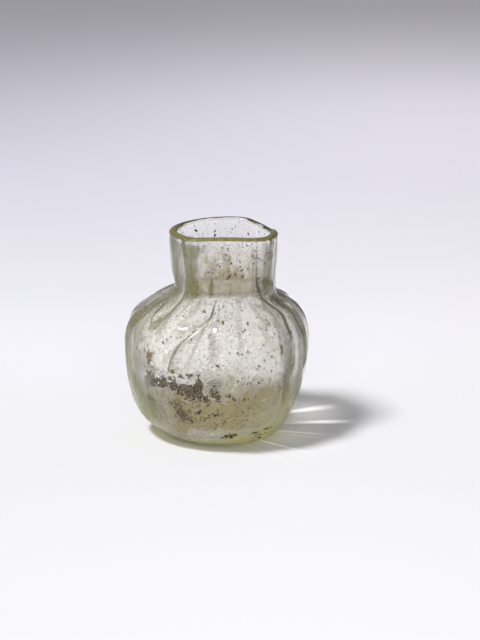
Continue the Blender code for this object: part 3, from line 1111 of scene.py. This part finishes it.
def make_haze():
    """The skins of weathering and silt on both faces of the wall, with painted shade in the shoulder's
    hollows and along rib lines.
    """
    angle = round_the_jar(COLUMNS)[None, :]
    degrees, height = wall_grid(outer_line(), COLUMNS, GRID_STEP)
    curve = evenly(outer_line(), GRID_STEP)
    drop = -relief(angle + 0 * height, curve[:, 0:1] + 0 * angle, height)
    on_shoulder = smooth_step(*SHOULDER_LOW, height) * (1.0 - smooth_step(*SHOULDER_HIGH, height))
    # Painted shade with olive weathering in the shoulder's hollows.
    hollows = HOLLOW_OLIVE_AND_SHADE * smooth_step(*HOLLOW_DEPTHS, drop) * on_shoulder
    outside = outer_points(COLUMNS, GRID_STEP, FILM_LIFT)
    stop = -CLEAN_FOOT_ROWS
    skin = film_material("burial_haze", *HAZE_AMOUNTS, (SKIN_SHADE, SKIN_SHADE))
    make_film("burial_haze", outside[:stop], degrees[:stop], height[:stop], hollows[:stop], skin)
    degrees, height = wall_grid(inner_line(), COLUMNS, 2.0 * GRID_STEP)
    ground = floor_line()[::-1]
    flat = plain_rings(ground + (0.0, DUST_LIFT), angle[0])
    inside = np.concatenate([inner_points(COLUMNS, 2.0 * GRID_STEP, DUST_LIFT), flat])
    degrees = np.concatenate([degrees, np.tile(degrees[:1], (len(ground), 1))])
    height = np.concatenate([height, np.tile(ground[:, 1:], (1, COLUMNS))])
    middle = placed(0.0, 0.0, ground[-1][1] + DUST_LIFT)
    dust = film_material("settled_dust", *DUST_AMOUNTS, DUST_SHADES)
    make_film("settled_dust", inside, degrees, height, 0.0, dust, middle)


def make_lip_patina():
    """Dull olive skin over the worn lip, a hair above the glass."""
    angle = round_the_jar(COLUMNS)
    line = lip_line()
    middle = np.array([OUTER_WALL[0][0] - OUTER_WALL[0][2] / 2, OUTER_WALL[0][1]])
    off = line - middle
    lifted = middle + off * (1 + FILM_LIFT / np.linalg.norm(off, axis=1)[:, None])
    mesh = grid_mesh("lip_patina", np.array(plain_rings(lifted, angle)))
    degrees = turned(from_front(angle))
    worn = 1.0 - LIP_BACK_THIN * smooth_step(*LIP_BACK, np.abs(turned(degrees + LIP_TURN)))
    write_share(mesh, "olive", np.tile(worn, (len(lifted), 1)))
    add_piece("lip_patina", mesh, lip_patina_material())


def make_soil():
    soil = soil_material("dried_soil", SOIL_COLOURS, 0.7)
    rust = soil_material("rust_stain", RUST_COLOURS, 1.2)
    make_flakes("soil_crust", SOIL_PATCHES, soil, *SOIL_FLAKES)
    make_flakes("rust_stains", STAINS, rust, *RUST_FLAKES)
    crust = soil_material("foot_crust", CRUST_COLOURS, 0.8)
    make_flakes("foot_crust", FOOT_PATCHES, crust, *FOOT_FLAKES, outside=True)
    make_grains("neck_grains", NECK_GRAINS, soil, NECK_GRAIN_SEED)
    make_grains("wall_grains", scattered_grains(SCATTER_SEED), soil, WALL_GRAIN_SEED)
    make_rootlets("rootlets", ROOTLETS, soil, ROOTLET_SEED)


def glass_material():
    material, tree, glass, output = new_material("weathered_glass")
    glass.inputs["Base Color"].default_value = (1.0, 1.0, 1.0, 1.0)
    glass.inputs["Roughness"].default_value = 0.045
    glass.inputs["IOR"].default_value = 1.5
    glass.inputs["Transmission Weight"].default_value = 1.0
    depth = add_node(tree, "VolumeAbsorption")
    feed(depth.inputs["Color"], DEPTH_COLOUR)
    feed(depth.inputs["Density"], DEPTH_DENSITY)
    feed(output.inputs["Volume"], depth.outputs[0])
    aslant = add_node(tree, "LayerWeight")
    feed(aslant.inputs["Blend"], 0.5)
    rise = ramp_between(effect(tree, "place_on_jar")["Height"], *SHADE_SPAN)
    share = ramp_between(aslant.outputs["Facing"], 0.25, 0.8)
    shade = blended(share, blended(rise, *FRONT_SHADES), blended(rise, *EDGE_SHADES))
    shadowed = clear_for("Is Shadow Ray", glass.outputs[0], shade)
    feed(output.inputs["Surface"], clear_for("Is Diffuse Ray", shadowed, STRAY_SHADE))
    return material


def make_jar():
    rings, first, last = jar_rings(COLUMNS, GRID_STEP)
    jar = add_object("jar_glass", grid_mesh("jar_glass", rings, first, last), glass_material())
    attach(jar, "root")
    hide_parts("glass_jar")


def painted_streak_mask(turn, reach, middle, half_width, start, brightest, end):
    """One painted light streak of the fan: degrees round, half its width, and how far out it runs in
    millimetres.
    """
    off = maths("ABSOLUTE", maths("SUBTRACT", turn, math.radians(middle)))
    side = ramp_between(off, 0.0, math.radians(half_width), 1.0, 0.0)
    rise = ramp_between(reach, start, brightest)
    fade = ramp_between(reach, brightest, end, 1.0, 0.0)
    return product(side, rise, fade)


def painted_caustic_light(tree, place):
    """Painted light: a glowing fan on the floor in the jar's shadow, where the ribs would throw light."""
    shifted = vectors("SUBTRACT", place, (*PAINTED_FAN_FROM, 0.0))[0]
    sides = parts_of(shifted)
    turn = maths("ARCTAN2", sides["Y"], sides["X"])
    reach = vectors("LENGTH", shifted)["Value"]
    total = 0.0
    for *streak, amount in PAINTED_FAN_STREAKS:
        total = maths("ADD", product(painted_streak_mask(turn, reach, *streak), amount), total)
    fine = add_node(tree, "TexNoise", noise_dimensions="1D")
    feed(fine.inputs["W"], turn)
    feed(fine.inputs["Scale"], RAYS_PER_RADIAN)
    feed(fine.inputs["Detail"], 2.0)
    rays = ramp_between(fine.outputs["Fac"], 0.45, 0.75)
    left, right = (ramp_between(turn, *map(math.radians, side)) for side in RAY_SIDES)
    inner, outer = (ramp_between(reach, *end) for end in RAY_ENDS)
    return total_of(total, product(left, right, inner, outer, rays, PAINTED_RAY_STRENGTH))


def floor_material():
    material, tree, paint, output = new_material("pale_sweep")
    feed(paint.inputs["Roughness"], 0.9)
    feed(paint.inputs["Specular IOR Level"], 0.1)
    place = effect(tree, "place_on_jar")["Place"]
    sides = parts_of(place)
    nearer = ramp_between(sides["Y"], *NEAR_TO_MIDDLE)
    away = ramp_between(sides["Y"], *MIDDLE_TO_FAR)
    across_it = ramp_between(sides["X"], *LEFT_TO_RIGHT)
    near, middle, far = (blended(across_it, *pair) for pair in (FLOOR_NEAR, FLOOR_MIDDLE, FLOOR_FAR))
    ground = blended(away, blended(nearer, near, middle), far)
    feed(paint.inputs["Base Color"], ground)
    # The floor's emission paints the light streaks into the jar's shadow.
    feed(paint.inputs["Emission Color"], painted_caustic_light(tree, place))
    feed(paint.inputs["Emission Strength"], 1.0)
    return material


def make_floor():
    shape = bmesh.new()
    bmesh.ops.create_circle(shape, cap_ends=True, radius=SWEEP_RADIUS, segments=SWEEP_SIDES)
    floor = add_object("sweep", mesh_of("sweep", shape), floor_material())


def add_light(name, where, size, power, aim=(0, 0, 0.03)):
    data = bpy.data.lights.new(name, "AREA")
    data.shape = "DISK"
    data.size = size
    data.energy = power
    lamp = put_in_scene(name, data)
    lamp.location = where
    lamp.rotation_euler = (Vector(aim) - Vector(where)).to_track_quat("-Z", "Y").to_euler()
    return lamp


def hide_lamp(lamp):
    """Keep a soft lamp's own shape out of the glass."""
    lamp.visible_camera = False
    lamp.visible_glossy = False
    lamp.visible_transmission = False


def make_lights():
    hide_lamp(add_light("key_softbox", KEY_PLACE, KEY_SIZE, KEY_POWER))
    glint = add_light("key_glint", GLINT_PLACE, GLINT_SIZE, GLINT_POWER)
    glint.visible_camera = False
    glint.visible_diffuse = False
    far_fill = add_light("far_fill", FAR_FILL_PLACE, FAR_FILL_SIZE, FAR_FILL_POWER, FAR_FILL_AIM)
    far_fill.data.spread = math.radians(90)
    far_fill.data.color = FAR_FILL_COLOUR
    hide_lamp(far_fill)
    hide_lamp(add_light("front_fill", FRONT_FILL_PLACE, FRONT_FILL_SIZE, FRONT_FILL_POWER))
    world = bpy.data.worlds.new("studio")
    world.use_nodes = True
    room = world.node_tree.nodes["Background"].inputs
    feed(room["Color"], ROOM_COLOUR)
    feed(room["Strength"], ROOM_STRENGTH)
    world.cycles.sampling_method = "NONE"
    bpy.context.scene.world = world


def make_camera():
    elevation = math.radians(CAMERA_ELEVATION)
    data = bpy.data.cameras.new("camera")
    data.lens = data.sensor_width * CAMERA_DISTANCE / VIEW_HEIGHT
    data.clip_start = 0.01
    data.clip_end = 20.0
    camera = put_in_scene("camera", data)
    back = Vector((0.0, -math.cos(elevation), math.sin(elevation)))
    right = Vector((1.0, 0.0, 0.0))
    up = back.cross(right)
    aim = (Vector((0.0, 0.0, AIM_HEIGHT)) + right * AIM_RIGHT + up * AIM_UP) * MM
    camera.location = aim + back * CAMERA_DISTANCE * MM
    camera.rotation_euler = back.to_track_quat("Z", "Y").to_euler()
    bpy.context.scene.camera = camera


def set_up_render():
    scene = bpy.context.scene
    scene.view_settings.view_transform = "Standard"
    scene.cycles.use_denoising = True
    scene.cycles.max_bounces = 32
    scene.cycles.transmission_bounces = 32
    scene.cycles.transparent_max_bounces = 32
    scene.cycles.caustics_reflective = False
    scene.cycles.caustics_refractive = False


build_effects()
make_jar()
make_lip_patina()
make_haze()
make_soil()
make_floor()
make_lights()
make_camera()
set_up_render()
